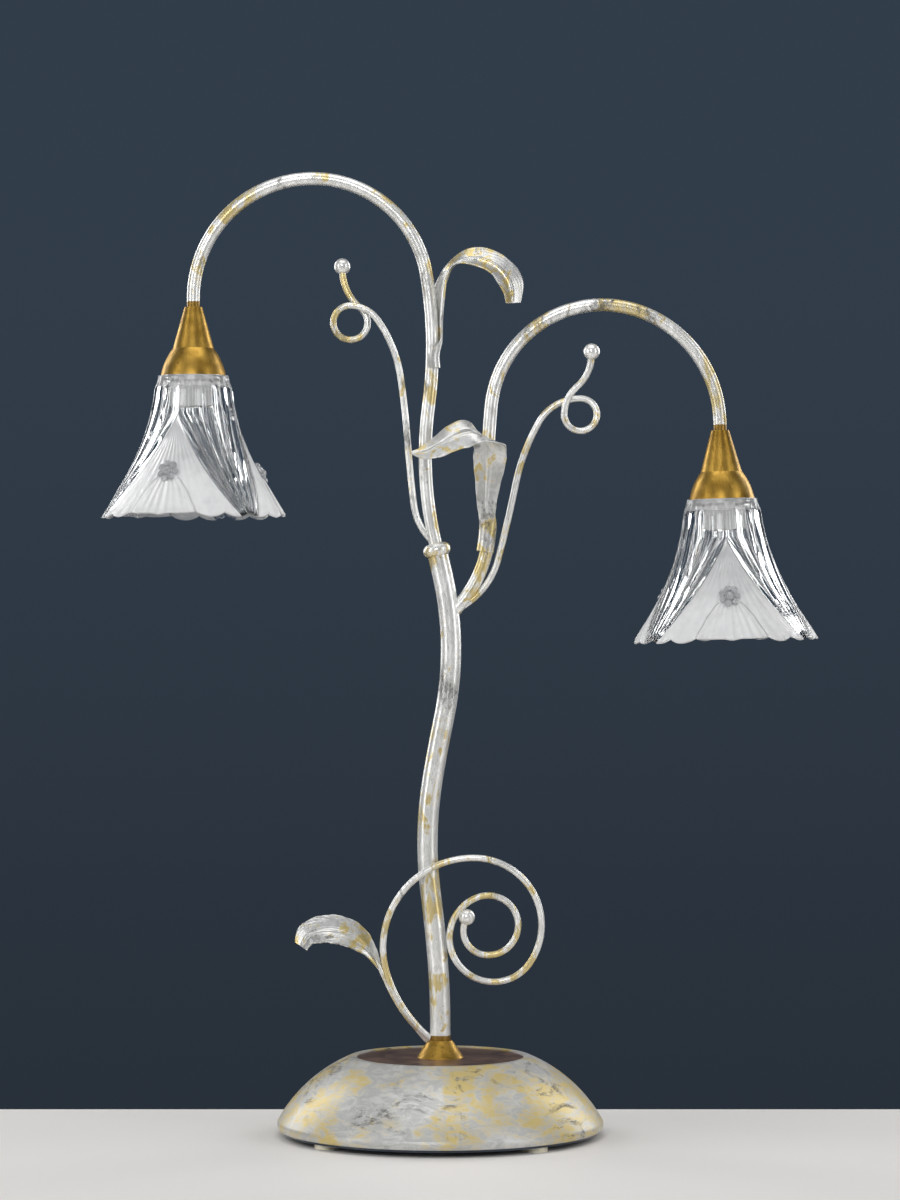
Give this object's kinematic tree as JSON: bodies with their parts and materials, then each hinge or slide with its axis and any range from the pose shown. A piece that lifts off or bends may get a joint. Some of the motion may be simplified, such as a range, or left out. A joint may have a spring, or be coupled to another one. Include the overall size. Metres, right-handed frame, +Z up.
{
  "type": "table lamp",
  "caption": "Two-light table lamp: round domed base, waving stem, arched arms with scalloped glass bell shades, folded leaves, curled tendrils and a scroll.",
  "frame": {"origin": "centre of the base at the surface it stands on", "axes": "+Z up; +X towards the arm with the lower shade; +Y to the back, where the cable inlet is; stem and arms lie in the XZ plane"},
  "size_m": [0.4336, 0.202, 0.5904],
  "materials": {
    "silver_leaf": "satin",
    "dark_edge": "satin",
    "copper_disc": "satin",
    "gold_satin": "satin",
    "pad_rubber": "matte",
    "steel": "satin",
    "cast_weight": "matte",
    "inlet_black": "matte",
    "terminal_nylon": "matte",
    "holder_white": "matte",
    "ceramic": "matte",
    "contact_brass": "satin",
    "lead_sleeve": "matte",
    "shade_glass": "gloss",
    "bulb_glass": "gloss",
    "filament_wire": "satin"
  },
  "bodies": {
    "lamp_frame": {"foot_pads": "pad_rubber", "bottom_cover": "dark_edge", "cover_screws": "steel", "base_dome": "silver_leaf", "inlet_bushing": "inlet_black", "ballast": "cast_weight", "earth_screw": "steel", "terminal_block": "terminal_nylon", "block_screw": "steel", "top_disc": "copper_disc", "foot_cone": "gold_satin", "threaded_rod": "steel", "rod_washer": "steel", "rod_nut": "steel", "stem": "silver_leaf", "left_arm": "silver_leaf", "right_arm": "silver_leaf", "collar": "silver_leaf", "left_lead": "lead_sleeve", "right_lead": "lead_sleeve", "left_tendril": "silver_leaf", "left_tendril_ball": "silver_leaf", "right_tendril": "silver_leaf", "right_tendril_ball": "silver_leaf", "scroll": "silver_leaf", "scroll_ball": "silver_leaf", "upper_leaf": "silver_leaf", "lower_leaf": "silver_leaf", "base_leaf": "silver_leaf", "left_nipple": "steel", "left_cone": "gold_satin", "left_cap": "gold_satin", "left_holder_shell": "holder_white", "left_holder_core": "ceramic", "left_contacts": "contact_brass", "right_nipple": "steel", "right_cone": "gold_satin", "right_cap": "gold_satin", "right_holder_shell": "holder_white", "right_holder_core": "ceramic", "right_contacts": "contact_brass"},
    "left_glass": {"left_glass_shade": "shade_glass"},
    "left_ring": {"left_shade_ring": "holder_white"},
    "left_bulb": {"left_bulb_base": "ceramic", "left_bulb_pins": "steel", "left_bulb_envelope": "bulb_glass", "left_bulb_filament": "filament_wire"},
    "right_glass": {"right_glass_shade": "shade_glass"},
    "right_ring": {"right_shade_ring": "holder_white"},
    "right_bulb": {"right_bulb_base": "ceramic", "right_bulb_pins": "steel", "right_bulb_envelope": "bulb_glass", "right_bulb_filament": "filament_wire"}
  },
  "joints": [
    {"name": "left_glass_drop", "type": "slide", "parent": "lamp_frame", "child": "left_glass", "axis": [0, 0, -1], "range_m": [0, 0.015]},
    {"name": "left_ring_turn", "type": "hinge", "parent": "left_glass", "child": "left_ring", "pos_m": [-0.15133, 0, 0.45837], "axis": [0, 0, -1], "range_deg": [0, 2701]},
    {"name": "left_bulb_pull", "type": "slide", "parent": "lamp_frame", "child": "left_bulb", "axis": [0, 0, -1], "range_m": [0, 0.03]},
    {"name": "right_glass_drop", "type": "slide", "parent": "lamp_frame", "child": "right_glass", "axis": [0.0279, 0, -0.9996], "range_m": [0, 0.015]},
    {"name": "right_ring_turn", "type": "hinge", "parent": "right_glass", "child": "right_ring", "pos_m": [0.17294, 0, 0.3829], "axis": [0.0279, 0, -0.9996], "range_deg": [0, 2701]},
    {"name": "right_bulb_pull", "type": "slide", "parent": "lamp_frame", "child": "right_bulb", "axis": [0.0279, 0, -0.9996], "range_m": [0, 0.03]}
  ],
  "couplings": [
    {"joint": "left_ring_turn", "follows": "left_glass_drop", "rad_per_m": 3141.6},
    {"joint": "right_ring_turn", "follows": "right_glass_drop", "rad_per_m": 3141.6}
  ]
}
